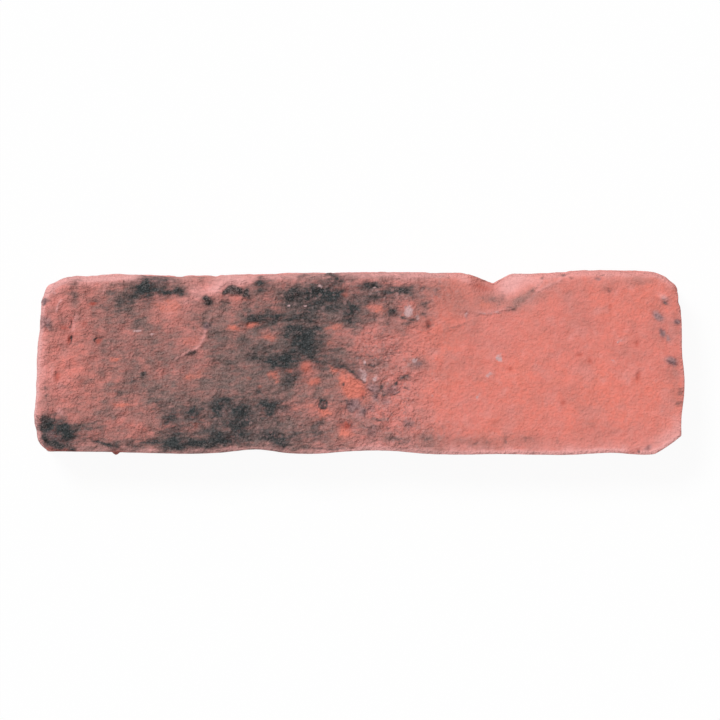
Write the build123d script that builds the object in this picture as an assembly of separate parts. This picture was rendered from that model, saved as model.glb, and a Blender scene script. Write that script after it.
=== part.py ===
from build123d import *

import os
from collections import namedtuple
from math import cos, radians, sin

# Brick slip: one piece of fired clay, the face of a hand-made brick, for bonding to a wall.
# It lies on its flat back. X runs along the slip, Y from the lower bed to the upper bed and
# Z from the back to the face. The origin is the middle of the back. All sizes are millimetres.

# Overall size, of the rectangle that the uneven outline touches on all four sides
LENGTH = 228.0
HEIGHT = 65.0
THICKNESS = 20.0

# Draft: how far each side leans in between the back and the face
LOWER_DRAFT = 0.5
RIGHT_DRAFT = 0.4
UPPER_DRAFT = 0.8
LEFT_DRAFT = 0.7

# Worn arris: its depth below the face, and how far it rounds in from each side
ARRIS_DEPTH = 3.6
LOWER_ARRIS = 1.9
RIGHT_ARRIS = 1.1
UPPER_ARRIS = 2.6
LEFT_ARRIS = 1.9

# Broken corners: the run along the bed, the rise along the end, and the bulge of the break
LOWER_LEFT_RUN = 5.8
LOWER_LEFT_RISE = 8.6
LOWER_LEFT_BULGE = 1.2
LOWER_RIGHT_RUN = 10.7
LOWER_RIGHT_RISE = 7.2
LOWER_RIGHT_BULGE = 0.3
UPPER_RIGHT_RUN = 12.4
UPPER_RIGHT_RISE = 10.7
UPPER_RIGHT_BULGE = 3.0
UPPER_LEFT_RUN = 18.0
UPPER_LEFT_RISE = 11.4
UPPER_LEFT_BULGE = 3.3
BREAK_FLARE = 1.6  # how much longer each run and rise is at the face

# Nick: a V knocked out of the upper bed through the whole thickness
NICK_FROM_CENTRE = 47.2
NICK_DEPTH = 4.9
NICK_LEFT_RUN = 13.2
NICK_RIGHT_RUN = 8.9

# Spalls: flakes lost from the upper arris, each a shallow cap of a ball
WIDE_SPALL_FROM_CENTRE = 51.4
WIDE_SPALL_REACH = 14.0
WIDE_SPALL_DEPTH = 4.6
SMALL_SPALL_FROM_CENTRE = -54.5
SMALL_SPALL_REACH = 8.6
SMALL_SPALL_DEPTH = 3.4

# Waves of the four sides, going anticlockwise from the lower left corner. Each is a place between
# the two broken corners, as a share of that stretch, and a dip in from the overall rectangle.
Wave = namedtuple("Wave", "place dip")
LOWER_WAVES = (
    Wave(0.00, 1.2),
    Wave(0.19, 0.5),
    Wave(0.29, 0.9),
    Wave(0.345, 1.9),
    Wave(0.40, 0.5),
    Wave(0.45, 0.5),
    Wave(0.515, 1.6),
    Wave(0.555, 1.6),
    Wave(0.60, 0.8),
    Wave(0.645, 0.2),
    Wave(0.75, 0.3),
    Wave(0.88, 0.3),
    Wave(0.91, 0.8),
    Wave(0.94, 0.8),
    Wave(0.97, 0.2),
    Wave(1.00, 0.3),
)
RIGHT_WAVES = (
    Wave(0.00, 0.9),
    Wave(0.17, 0.8),
    Wave(0.37, 0.0),
    Wave(0.66, 0.8),
    Wave(0.92, 1.2),
    Wave(1.00, 2.0),
)
UPPER_WAVES = (
    Wave(0.00, 0.4),
    Wave(0.07, 0.1),
    Wave(0.13, 0.2),
    Wave(0.18, 0.9),
    Wave(0.23, 1.2),
    Wave(0.345, 0.8),
    Wave(0.58, 0.8),
    Wave(0.71, 1.5),
    Wave(0.83, 2.0),
    Wave(0.94, 1.5),
    Wave(1.00, 2.2),
)
LEFT_WAVES = (
    Wave(0.00, 2.6),
    Wave(0.26, 1.9),
    Wave(0.53, 0.9),
    Wave(0.73, 0.6),
    Wave(0.91, 0.0),
    Wave(1.00, 0.9),
)

SHOULDER = THICKNESS - ARRIS_DEPTH  # height at which the arris begins
ARRIS_TURNS = (0, 22.5, 45, 67.5, 90)  # degrees round the arris, from the side to the face
CLEAR = 2.0  # how far a cutting solid stands clear of the slip


def side_points(place, span, first_leg, last_leg, waves, inset, z):
    """Points along one side. place turns (distance along, distance in) into plan X and Y."""
    run = span - first_leg - last_leg
    return [Vector(*place(first_leg + wave.place * run, wave.dip + inset), z) for wave in waves]


def bulged(start, end, bulge):
    """The face of a broken corner, seen in plan: an arc that bulges out to the right of its way."""
    chord = end - start
    outward = Vector(chord.Y, -chord.X, 0).normalized()
    return ThreePointArc(start, (start + end) / 2 + outward * bulge, end)


def ring(z, drafted, worn):
    """The slip's outline at one height: drafted is the share of the draft there, worn of the arris."""
    flare = BREAK_FLARE * worn
    half_length = LENGTH / 2
    half_height = HEIGHT / 2
    lower = side_points(
        lambda s, d: (s - half_length, d - half_height),
        LENGTH, LOWER_LEFT_RUN + flare, LOWER_RIGHT_RUN + flare,
        LOWER_WAVES, LOWER_DRAFT * drafted + LOWER_ARRIS * worn, z,
    )
    right = side_points(
        lambda s, d: (half_length - d, s - half_height),
        HEIGHT, LOWER_RIGHT_RISE + flare, UPPER_RIGHT_RISE + flare,
        RIGHT_WAVES, RIGHT_DRAFT * drafted + RIGHT_ARRIS * worn, z,
    )
    upper = side_points(
        lambda s, d: (half_length - s, half_height - d),
        LENGTH, UPPER_RIGHT_RUN + flare, UPPER_LEFT_RUN + flare,
        UPPER_WAVES, UPPER_DRAFT * drafted + UPPER_ARRIS * worn, z,
    )
    left = side_points(
        lambda s, d: (d - half_length, half_height - s),
        HEIGHT, UPPER_LEFT_RISE + flare, LOWER_LEFT_RISE + flare,
        LEFT_WAVES, LEFT_DRAFT * drafted + LEFT_ARRIS * worn, z,
    )
    return Wire([
        Spline(*lower),
        bulged(lower[-1], right[0], LOWER_RIGHT_BULGE),
        Spline(*right),
        bulged(right[-1], upper[0], UPPER_RIGHT_BULGE),
        Spline(*upper),
        bulged(upper[-1], left[0], UPPER_LEFT_BULGE),
        Spline(*left),
        bulged(left[-1], lower[0], LOWER_LEFT_BULGE),
    ])


def slab():
    """The moulded slip before any damage: drafted sides, then the arris rounding in to the face."""
    back = ring(0, 0, 0)
    arris = [
        ring(SHOULDER + ARRIS_DEPTH * sin(radians(turn)), 1, 1 - cos(radians(turn)))
        for turn in ARRIS_TURNS
    ]
    return Solid.make_loft([back] + arris, ruled=True)


def nick():
    """A wedge for the V in the upper bed, standing clear of the slip above, below and outside."""
    reach = (NICK_DEPTH + CLEAR) / NICK_DEPTH
    outside = HEIGHT / 2 + CLEAR
    wedge = make_face(Polyline(
        (NICK_FROM_CENTRE, HEIGHT / 2 - NICK_DEPTH),
        (NICK_FROM_CENTRE + NICK_RIGHT_RUN * reach, outside),
        (NICK_FROM_CENTRE - NICK_LEFT_RUN * reach, outside),
        close=True,
    ))
    return Pos(0, 0, -CLEAR) * extrude(wedge, THICKNESS + 2 * CLEAR)


def spall(from_centre, reach, depth):
    """The ball whose cap, so wide and so deep, is missing from the face at the upper bed."""
    radius = (reach**2 + depth**2) / (2 * depth)
    return Pos(from_centre, HEIGHT / 2, THICKNESS - depth + radius) * Sphere(radius)


brick_slip = slab() - [
    nick(),
    spall(WIDE_SPALL_FROM_CENTRE, WIDE_SPALL_REACH, WIDE_SPALL_DEPTH),
    spall(SMALL_SPALL_FROM_CENTRE, SMALL_SPALL_REACH, SMALL_SPALL_DEPTH),
]

os.makedirs("parts", exist_ok=True)
export_step(brick_slip, "parts/brick_slip.step")
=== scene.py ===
from collections import namedtuple
from math import cos, radians, sin
from types import SimpleNamespace

import bmesh
import bpy
import numpy as np
from mathutils.kdtree import KDTree
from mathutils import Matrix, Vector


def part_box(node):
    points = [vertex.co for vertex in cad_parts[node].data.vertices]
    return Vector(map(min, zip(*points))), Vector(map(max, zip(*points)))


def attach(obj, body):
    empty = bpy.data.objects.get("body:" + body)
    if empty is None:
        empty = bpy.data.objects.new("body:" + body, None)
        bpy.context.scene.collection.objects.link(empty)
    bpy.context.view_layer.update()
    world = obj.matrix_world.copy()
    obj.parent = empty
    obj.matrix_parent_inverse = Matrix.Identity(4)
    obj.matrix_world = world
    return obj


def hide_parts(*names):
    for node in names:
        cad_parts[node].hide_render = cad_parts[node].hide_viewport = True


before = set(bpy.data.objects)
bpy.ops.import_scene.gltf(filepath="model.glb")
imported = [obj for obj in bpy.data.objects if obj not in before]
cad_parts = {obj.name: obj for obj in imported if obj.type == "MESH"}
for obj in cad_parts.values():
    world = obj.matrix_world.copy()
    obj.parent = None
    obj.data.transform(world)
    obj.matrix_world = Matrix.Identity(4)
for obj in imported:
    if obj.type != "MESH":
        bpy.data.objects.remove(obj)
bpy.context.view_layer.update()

# Brick slip, lying on its back with the face up and seen from straight above. Places on the face are
# given in pixels of the 720 pixel square picture, and depths and wavelengths in millimetres.
NODE = "brick_slip"
MM = 0.001
PICTURE_SIZE = 720
PICTURE_LEFT = 33.5  # columns that bound the slip in the picture
PICTURE_RIGHT = 683.5

low, high = (np.array(corner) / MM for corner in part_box(NODE))
PIXEL = (high[0] - low[0]) / (PICTURE_RIGHT - PICTURE_LEFT)
THICKNESS = high[2] - low[2]

# Skin: even squares on the face and sides, and a plain sheet on the back
SKIN_PITCH = 0.54
BACK_SKIN = 0.1  # what lies below this height belongs to the back
LOOKS_DOWN = -0.9  # a face whose normal's Z is below this looks down
SHARP_ANGLE = 55

# Noise: cells before it repeats, and the gain that brings it to about -1 to 1
LATTICE_SIZE = 32
LATTICE_GAIN = 1.6

# Columns, depths below the face and heights between which a change comes in
PLAIN_COLUMNS = (390, 460)  # from the coarse left to the plain right
HAZE_RISES = (90, 240)
HAZE_FALLS = (290, 450)
DULL_MIDDLE = (180, 300)  # where the upper arris grows less pale
DULL_RIGHT = (520, 580)
SQUARED_DEPTHS = (3.8, 13.0)  # where a squared arris ends
RIM_DEPTHS = (0.4, 3.5)  # where the rim of a side ends
SANDED_DEPTHS = (2.0, 6.0)  # where the sides lose the pale of the arris
PALE_RIM = (0.3, 1.5)  # from here the pale of the arris is carried on to the face
FACE_HEIGHTS = (0.5, 0.6)  # shares of the thickness: what looks up above them is the face
UPPER_HEIGHTS = (0.35, 0.8)  # and the sides above these have the picture's marks

# Relief, millimetres
SQUARED_LEFT = 0.05  # share of its depth that a squared arris keeps
PALE_INLAND = 2.2  # how far the pale of the arris reaches on to the face
RIM_OUT = 0.2  # how far the lower bed's rim stands out
UNDERCUT = 0.4  # how far the shaded sides draw in below their rim
SWELL = 0.30  # height of the broad swells of the face
CRUST_HEIGHT = 0.4
BUMP_HEIGHT = 1.1  # of the finest grain, from the material
PEBBLE = 1.5  # pitch of the coarse grit

# Lumps of the face, from the largest to the smallest
Lump = namedtuple("Lump", "height wavelength seed")
LUMPS = (Lump(0.80, 10, 33), Lump(0.76, 5, 34), Lump(0.48, 2.8, 35), Lump(0.28, 1.5, 36))

# Folds lie where one noise is near nought, and show in the patches where another is high
Folds = namedtuple("Folds", "depth pitch width seed patch_pitch patch_full patch_seed")
CREASES = Folds(0.40, (24, 24, 3.0), 0.16, 44, 15, 0.35, 45)  # left by the mould, along the sides
WRINKLES = Folds(0.20, 6.5, 0.10, 47, 14, 0.40, 48)  # of the face
PATCH_START = -0.1

# The back was sawn off a brick: middle of the blade's arcs, their pitch, depth and wandering
SAW_CENTRE = (60, -260, 0)
SAW_PITCH = 2.2
SAW_DEPTH = 0.2
SAW_WANDER = 10  # radians
SAW_FADE = 0.3  # height at which the marks have faded out

# Studio
FLOOR_SIZE = 12.0  # metres
FLOOR_GAP = 0.1  # below the slip, so that the two flat sheets don't meet
FLOOR_GLOW = 0.94  # share of the floor's look that is plain white
FILL = 0.42  # share of the light that comes from all round
KEY = 0.58  # share that comes from the key lamp
KEY_AZIMUTH = 128  # degrees anticlockwise from +X
KEY_ELEVATION = 50
KEY_SOFTNESS = 20  # degrees across
LENS = 250.0
SENSOR = 36.0
LOOK_AT = (0.53, 0.88)  # millimetres, the middle of the picture on the slip
REACH = PICTURE_SIZE * PIXEL * LENS / SENSOR  # distance at which the picture spans its 720 pixels
CAMERA_HEIGHT = REACH + THICKNESS / 2

# A patch is an ellipse on the face: middle, length, width, strength and turn anticlockwise in degrees.
# A dent or bump has a height in millimetres for its strength.
Patch = namedtuple("Patch", "x y length width strength turn", defaults=(0,))
# A line is as wide as its width in pixels. A painted one has a strength for its height.
Line = namedtuple("Line", "height width points")
# A ledge drops by so many millimetres to the right of its way and fades out over so many pixels.
Ledge = namedtuple("Ledge", "drop fade points")


def patches(*rows):
    """Patches from rows, which may leave out the turn."""
    return [Patch(*row) for row in rows]


# Soot from the fire, and some painted shade
SOOT_AND_SHADE = patches(
    # upper left
    (145,286, 15,18, .97), (139,293, 20,9, .75, 35), (165,292, 32,7, .85, -4), (164,281, 14,9, .55),
    (155,277, 14,6, .35), (176,284, 6,14, .25, 20), (150,298, 14,8, .4), (179,293, 12,8, .4),
    (119,302, 10,14, .45), (129,302, 10,12, .3), (138,323, 12,12, .3), (104,307.5, 12,8, .5, -35),
    (152,341, 11,16, .25), (194,317, 16,7, .25, 5), (45,302, 6,6, .75), (50,326, 6,9, .65, 30),
    (73,294, 6,16, .45, 15), (76,282, 12,9, .4), (112,292, 10,6, .35), (54,294, 9,6, .25, 20),
    # lower left corner
    (48,421, 14,10, .9, 20), (45,428, 12,7, .85), (65,430, 22,13, .99, -30), (46,438, 8,13, .85, 30),
    (56,444, 16,8, .85, -10), (52,430, 20,10, .3), (57,437, 16,9, .5), (68,438, 8,10, .7),
    (86,427, 36,9, .34), (92,438, 14,8, .35), (71,449, 7,4, .7), (116,455.5, 12,7, .4),
    # lower edge and lower middle
    (112,446, 12,7, .7, -10), (128,443, 10,7, .5), (152,442, 20,5, .7, -5), (136,447, 14,6, .5),
    (144,375, 6,6, .6), (133,381, 6,6, .5), (117,392, 8,6, .5), (152,395, 8,9, .4), (172,416, 12,14, .6),
    (160,404, 10,10, .4), (175,434, 20,15, .62), (173,444, 28,9, .8), (193,413, 15,12, .9),
    (197,445, 14,6, .85), (198,424, 12,8, .3), (166,420, 9,11, .4), (220,402, 20,10, .7, 10),
    (217,411, 12,13, .85), (238,409, 20,16, .75), (236,427, 14,14, .97), (247,418, 14,14, .7),
    (268,405, 22,12, .75), (271,413, 12,11, .8), (213,431, 16,12, .55), (222,438, 20,9, .65),
    (205,444, 24,7, .95, 5), (228,443, 18,6, .75), (255,436, 40,10, .55, 5), (270,437, 9,9, .9),
    (281,442, 14,8, .97, -10), (294,435, 12,10, .5), (317,427, 8,18, .55, -30), (322,436, 12,10, .55),
    (288,409, 14,13, .42), (259,390, 7,12, .55), (291,377, 17,13, .6, 30), (286,385, 12,8, .4),
    # upper middle
    (208,301, 9,9, .6, -40), (232,290, 16,6, .4, 5), (247,294, 6,9, .5, -30), (260,284, 12,16, .75),
    (269,285, 12,9, .3), (290,297, 15,12, .85), (295,293, 8,7, .7), (331,295, 25,13, .98),
    (313,292, 22,14, .85), (309,308, 24,16, .55), (330,307, 26,12, .5), (253,318, 12,9, .85),
    (266,315, 24,8, .4, 5), (275,318, 10,5, .8), (297,317, 34,7, .5), (265,326, 20,7, .35, 20),
    (290,331, 10,6, .98, 10), (304,336, 24,12, .97, -10), (306,338, 20,12, .8, -10),
    (315,327, 8,5, .85, 10), (303,347, 18,14, .85), (312,354, 12,7, .7), (288,357, 22,12, .85, 15),
    (270,362, 18,10, .7), (253,356, 11,11, .7), (266,347, 18,6, .45), (283,364, 16,10, .9, -20),
    (318,365, 7,10, .55), (325,367, 12,8, .25), (338,362, 22,6, .55, -25), (352,309, 13,12, .8),
    (351,321, 11,8, .65, -20), (207,326, 6,6, .8), (330,275, 12,6, .8), (337,281, 12,7, .65),
    (303,275, 8,5, .4), (333,350, 16,4, .35, 10), (222,342, 16,14, .3), (212,352, 12,9, .3),
    (244,343, 18,12, .3), (230,364, 10,10, .3),
    # right of the middle
    (371,285.5, 25,6, .8, 5), (390,292, 20,6, .7, 15), (404,291.5, 13,5, .9, -10),
    (369,297, 18,10, .45, 20), (384,297, 24,8, .35, 8), (397,287, 16,4, .35), (411,288, 7,4, .4),
    (424,288, 8,5, .5), (437,288, 6,12, .4, -30), (392,311, 8,9, .75, -60), (371,316, 12,6, .45, 15),
    (387,322, 9,7, .4), (410,321, 9,6, .4), (424,303, 8,5, .6), (426,313, 6,8, .5, 20), (428,326, 5,8, .6),
    (389,344, 10,6, .22), (392,352, 6,8, .4), (419,364, 11,8, .4), (355,364, 10,9, .3),
    (380,361, 14,6, .45, -20), (358,378, 9,3, .6, -35), (353,405, 11,10, .3, 30), (363,411, 6,5, .3),
    (375,418, 9,4, .5, -20), (371,432, 9,10, .3), (397,438, 16,7, .5, -10), (427,439, 15,5, .4),
    (388,429, 7,4, .45), (475,443, 10,4, .5, 30), (486,445, 10,4, .35, 15), (506,438, 3,10, .5),
    (408,424, 8,7, .25), (323,404, 8,7, .6), (344,385, 4,4, .85), (460,296, 5,6, .3),
    (380,392, 9,12, .4, 30),
    # the nick and the right end, with painted shade along the nick's shadowed diagonal and on the shadowed
    # edges of the stones
    (494,299, 12,9, .3), (503,298, 4,9, .35), (512,308, 6,3, .5), (564,272, 7,4, .55, 20),
    (543,277, 6,4, .5), (572,277, 4,4, .4), (602,274, 5,3, .5), (562,281, 6,4, .3), (532,291, 7,6, .35, 30),
    (598,280, 4,3, .4), (611,290, 7,4, .5, -20), (665.5,302, 6,4, .75, -35), (657.5,314.5, 6,4, .7, -40),
    (661.5,335, 3,5, .6, 15), (678,323, 4,3, .55), (524,440, 16,6, .3, 20), (639,450, 4,4, .7),
    (681,393, 5,10, .4), (672.5,362, 7,4, .6, -35), (679,404, 5,6, .5), (558,443, 4,5, .35),
)

# Hard dark crusts: the scab and knobs at the upper arris, and the char at the lower left corner
CRUSTS = patches(
    (225,292, 7,5, .9, 45), (230,287.5, 8,5, .9, 20), (236,288, 7,5, .85, -15), (240,291, 6,6, .95, -20),
    (246,293, 6,10, .95, -25), (249,297, 4,6, .8, -20), (233,291, 20,7, .85, 5), (206,298, 8,7, .97, -40),
    (209,302, 5,6, .8, -40), (289,296, 8,10, .7, -10), (296,293, 6,6, .75), (253,318, 8,7, .6),
    (249,314, 4,8, .5), (289,331, 8,4, .8, 15), (297,333, 10,4, .8, -10), (191,353.5, 10,4, .7, 15),
    (44,418, 8,8, .85), (52,420, 7,5, .7), (43,427, 8,5, .8), (45,437, 6,8, .8, 30), (52,443, 8,5, .8, -20),
    (60,445, 8,4, .7), (68,445, 5,5, .6), (143,374, 5,5, .9), (133,381, 5,4, .6), (404,291, 10,4, .9, -8),
    (329,275, 6,4, .7), (392,313, 6,6, .7, -45), (321,405, 3,7, .7), (324,408, 6,3, .6),
    (145,283, 5,8, .5, 10), (314,326, 6,4, .6, 20), (270,436, 6,5, .6), (282,442, 8,5, .7, -20),
    (204,445, 16,4, .6, 5), (236,424, 8,8, .4),
)

# Soot in lines: along cracks, on the scab and in the crease above the lower bed. Some of the lines are
# painted shadow instead: on the shaded walls of the pit and grooves at the left, under the scab, under the
# spall's ledge and on the lower side of the ridge's end.
SOOT_AND_SHADOW_LINES = [Line(*row) for row in (
    (.45, 2.5, ((223,294), (227,288), (231,285), (236,286), (240,289))),
    # painted shadow under the scab
    (.48, 2.5, ((222,301), (232,304), (241,308), (246,312))),
    (.75, 3.5, ((249,321), (262,320), (275,318.5), (290,319.5))),
    (.7, 3, ((290,320), (304,320), (318,321))),
    (.75, 3, ((394,315), (404,318), (418,321))),
    (.68, 4.5, ((330,363), (345,367.5), (356,374.5), (364,383))),
    (.75, 3.5, ((92,440), (100,443), (107,445), (118,447))),
    (.65, 3.5, ((140,442), (152,441), (164,443))),
    (.55, 2.5, ((281,448), (300,447), (322,449), (345,448))),
    (.54, 3, ((395,386), (399,381), (404,377), (409,374))),
    (.62, 2.4, ((397,384), (404,388), (409,390))),
    (.64, 2.8, ((376,397), (379,391), (383,386))),
    (.4, 3, ((443,330), (452,328), (460,325), (470,322))),
    (.66, 2.8, ((381,384), (382,390), (384,396))),
    (.5, 2, ((361,393), (363,398))),
    (.62, 2.6, ((373,416), (377,419), (380,420))),
    (.65, 2.4, ((386,427), (390,428.5))),
    (.65, 2.2, ((346,400), (348,406), (351,411), (354,413.5))),
    (.4, 2.4, ((396,384), (399,378), (404,376.5), (410,376))),
    (.55, 2.2, ((385,394), (392,395), (400,391))),
    (.5, 2.2, ((365,391), (371,394), (378,392))),
    (.66, 3, ((369,364.5), (374,366), (380,362.5))),
    (.45, 2, ((370,372), (374,366), (373,360))),
    (.45, 2, ((352,427), (358,428), (364,426))),
    (.4, 2, ((380,404), (386,402), (390,404))),
    (.4, 2, ((409,441), (404,445), (398,443))),
    # painted shade on the lower side of the ridge's end
    (.55, 3.5, ((186,356), (190,354.5), (196,352.5))),
    (.45, 3, ((340,402), (352,398), (364,399))),
    # painted shadow on the shaded walls of the pit and of the two grooves
    (.75, 2.6, ((103,338), (98,338), (94,339), (95,342), (97,344))),
    (.75, 2.4, ((72,335.5), (71.2,340), (69.8,343.5))),
    (.55, 2.4, ((74,314), (71.5,321), (69.8,328))),
    (.5, 2.2, ((55.5,371), (56,376), (57,381))),
    (.45, 2.2, ((111,356), (116,355.5), (121,358))),
    (.9, 2.8, ((319,403), (321,400), (325,400), (327,403), (326,407),
        (322,408), (319,406), (319,403))),
    (.5, 2, ((342,424), (345,420.5), (350,421.5), (352,425), (349,429), (345,429), (342,424))),
    (.45, 2, ((349,402), (354,400), (359,404), (357,410), (351,411), (348,406), (349,402))),
    (.4, 3, ((312,397), (325,399), (338,401))),
    (.45, 2.5, ((46,372), (45,384), (46,398), (48,410))),
    # painted shadow under the spall's ledge
    (.4, 2.2, ((482,315), (497,314), (509,311), (516,308.5))),
    (.45, 2.5, ((100,300), (92,303), (86,302))),
)]

# Veils of dusk over the all-over haze, and the places that the haze leaves clear
DUSK = patches(
    # upper left
    (101,307, 18,10, .45, -20), (119,302, 16,24, .62), (130,303, 16,20, .6), (141,321, 20,22, .68),
    (152,321, 16,20, .3), (152,343, 18,20, .45), (110,328, 40,20, .25), (105,344, 30,12, .4),
    (122,352, 32,12, .35), (170,357, 42,14, .5, 10), (73,402, 26,26, .25), (104,318, 30,34, .2),
    (190,316, 26,14, .5, 5), (75,300, 12,26, .35), (75,283, 14,12, .35), (165,284, 44,24, .6),
    (131,291, 28,16, .28), (184,292, 14,18, .45), (111,370, 26,16, .35), (140,362, 34,12, .3),
    (162,352, 22,12, .25), (156,393, 28,14, .25), (146,394, 16,12, .2), (160,334, 30,10, .3),
    (146,307, 24,16, .4),
    # lower left
    (148,380, 44,14, .35), (117,390, 26,12, .35), (106,407, 22,12, .5), (104,416, 26,10, .3),
    (154,396, 26,16, .62, -30), (165,410, 20,24, .5), (82,427, 40,11, .6), (46,400, 8,30, .35),
    (112,446, 60,8, .45), (150,446, 60,10, .4), (165,434, 34,16, .4), (180,390, 40,30, .25),
    # upper middle
    (262,287, 24,12, .35), (288,296, 30,16, .4), (212,305, 14,16, .45), (206,316, 14,10, .4),
    (228,312, 40,14, .3), (308,307, 62,30, .85), (275,319, 60,12, .55), (216,342, 24,40, .45),
    (240,348, 40,28, .48), (266,327, 26,12, .45), (288,346, 56,30, .7), (328,314, 44,20, .65),
    (318,338, 16,30, .6), (344,356, 34,14, .5), (262,305, 26,14, .25), (258,352, 26,20, .5),
    (340,277, 180,8, .4), (215,278, 20,8, .3), (330,345, 20,14, .3), (304,358, 16,8, .6),
    # lower middle
    (225,412, 60,30, .5), (215,436, 90,22, .6), (262,422, 50,34, .5), (288,434, 34,22, .5),
    (216,384, 40,18, .42), (258,374, 20,30, .45), (269,382, 24,12, .62), (253,367, 16,12, .25),
    (217,381, 24,14, .55), (236,354, 20,12, .3), (253,340, 20,10, .3), (306,326, 18,8, .5),
    (290,382, 24,18, .5, 30), (318,428, 20,24, .5, -30), (330,397, 40,10, .15, -5), (336,430, 20,16, .3),
    (326,372, 16,16, .6), (338,382, 16,12, .6), (312,381, 16,8, .5), (285,398, 40,14, .3),
    # right of the middle
    (372,294, 40,16, .45), (404,291, 34,12, .55), (356,312, 24,26, .6), (374,318, 36,10, .4),
    (391,309, 14,14, .5, -40), (412,320, 26,8, .4), (388,328, 20,12, .3), (415,339, 18,14, .2),
    (452,331, 30,20, .14), (424,306, 14,24, .35), (436,288, 18,14, .35), (453,288, 28,22, .2),
    (386,346, 14,14, .2), (372,362, 36,16, .13), (390,366, 20,20, .08), (418,364, 18,14, .5),
    (366,374, 22,14, .14), (384,390, 20,24, .05), (354,406, 20,18, .15), (390,432, 46,16, .22),
    (433,411, 20,14, .12), (416,368, 16,10, .2), (425,438, 40,10, .2), (404,376, 18,14, .08),
    (460,440, 60,12, .35), (90,452, 60,5, .45), (60,450, 44,6, .7, -3), (270,450, 360,8, .36),
    (504,443, 60,10, .25), (468,330, 40,12, .12, 10), (528,439, 30,12, .3), (376,393, 9,14, .3),
    (390,390, 14,10, .2), (386,401, 10,6, .25), (368,433, 10,14, .22), (433,450, 34,8, .4),
    (92,450, 30,8, .35), (268,447, 30,10, .5), (398,438, 20,8, .4, -10), (402,419, 14,10, .2),
    (410,424, 8,6, .25), (428,436, 14,10, .3), (362,410, 8,8, .3), (432,446, 30,6, .3),
    (404,378, 12,8, .3, 30), (384,368, 14,8, .3),
    # the paler left
    (52,328, 10,8, .4), (110,365, 26,130, .2), (100,412, 50,24, .25), (140,398, 40,20, .2),
    (75,320, 40,30, .15),
    # the nick and the right end, with painted shade along the nick's shadowed diagonal
    (494,297, 22,14, .7), (521,300, 30,9, .8, 42), (500,304, 40,12, .3), (450,304, 44,30, .34),
    (534,290, 12,14, .35, 30), (545,296, 40,16, .15), (640,281, 40,12, .4), (606,289, 22,10, .25, -30),
    (560,284, 30,10, .2), (676,318, 12,50, .3), (660,345, 20,14, .15), (568,294, 60,8, .12),
    (676,392, 10,60, .22), (120,451, 70,7, .5), (628,304, 40,12, .1),
)
CLEAR = patches(
    (171,311, 46,22, .7), (273,302, 26,20, .7), (290,281, 30,9, .45), (250,280, 80,9, .2),
    (252,327, 16,8, .5), (199,351, 16,18, .5), (237,312, 24,12, .35), (56,330, 20,24, .4),
    (41,375, 8,90, .4), (129,340, 26,16, .45), (190,382, 26,14, .35), (92,395, 26,20, .3),
    (92,345, 24,26, .2), (58,402, 24,24, .35), (126,429, 74,16, .4), (86,413, 34,14, .15),
    (120,405, 44,8, .4), (236,298, 26,8, .6, -12), (360,281, 16,10, .5), (181,325, 18,14, .45),
    (267,337, 28,9, .4), (160,370, 18,16, .35), (397,309, 16,10, .3), (379,424, 16,10, .3),
    (302,402, 24,16, .2), (355,388, 28,16, .9, -40), (318,411, 34,20, .45), (306,372, 22,26, .6, -20),
    (336,336, 34,14, .3), (368,342, 40,22, .5), (192,338, 24,20, .4, 20), (198,372, 20,18, .25),
    (210,289, 40,16, .7, 20), (62,392, 30,60, .2), (88,362, 40,40, .15), (60,345, 30,50, .25),
    (128,325, 24,14, .3), (78,316, 50,24, .2), (345,294, 14,12, .5), (370,410, 24,12, .3),
    (308,437, 14,10, .4), (362,438, 14,10, .4), (378,309, 26,8, .4, -15), (346,431, 20,16, .5),
    (390,341, 46,18, .65), (388,410, 40,16, .2), (146,353, 18,12, .3), (74,339, 16,12, .3),
    (235,330, 26,8, .3),
)

# Where the clay is speckled with grey, dark and pale grit
GRIT = patches(
    (395,300, 90,60, .7), (384,360, 66,60, .8), (384,405, 76,70, .8), (340,415, 60,60, .5),
    (290,425, 90,50, .6), (230,420, 90,60, .5), (320,300, 80,50, .6), (270,350, 90,50, .4),
    (440,285, 40,30, .5), (420,435, 70,30, .5), (470,440, 80,20, .3), (55,430, 40,34, .5),
    (160,400, 80,60, .3), (45,323, 12,16, .97),
)

# Spots of bare orange clay in the dusk
OCHRE = patches(
    (167,306, 32,20, .6), (306,366, 14,13, .75), (313,382, 16,10, .6), (354,387, 28,18, .97, -40),
    (336,370, 14,6, .55, -25), (351,388, 26,14, .9, -35), (316,410, 28,18, .45), (324,411.5, 14,7, .75),
    (288,371, 6,7, .9), (330,343, 16,12, .45), (345,293, 12,9, .7), (336,327, 26,6, .62),
    (378,309, 28,9, .7, -15), (405,341, 22,16, .4), (346,433, 15,11, .85), (233,328, 16,6, .7, 10),
    (268,337, 20,9, .65), (252,325.5, 12,5, .97), (192,376, 24,14, .45), (205,371, 14,8, .42),
    (233,346, 16,8, .45), (246,379, 10,8, .4), (120,405, 20,5, .8), (115,359, 12,7, .8),
    (190,341, 22,14, .55), (275,374, 15,9, .6), (260,387, 7,7, .6), (276,382, 9,5, .45), (296,408, 9,5, .6),
    (195,425, 15,7, .6), (440,310, 24,34, .3), (485,306, 22,12, .5), (520,376, 64,44, .25),
    (560,378, 54,28, .3), (145,366, 14,6, .4), (105,417, 9,6, .4), (232,404, 10,5, .5), (272,404, 6,4, .6),
)

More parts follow.
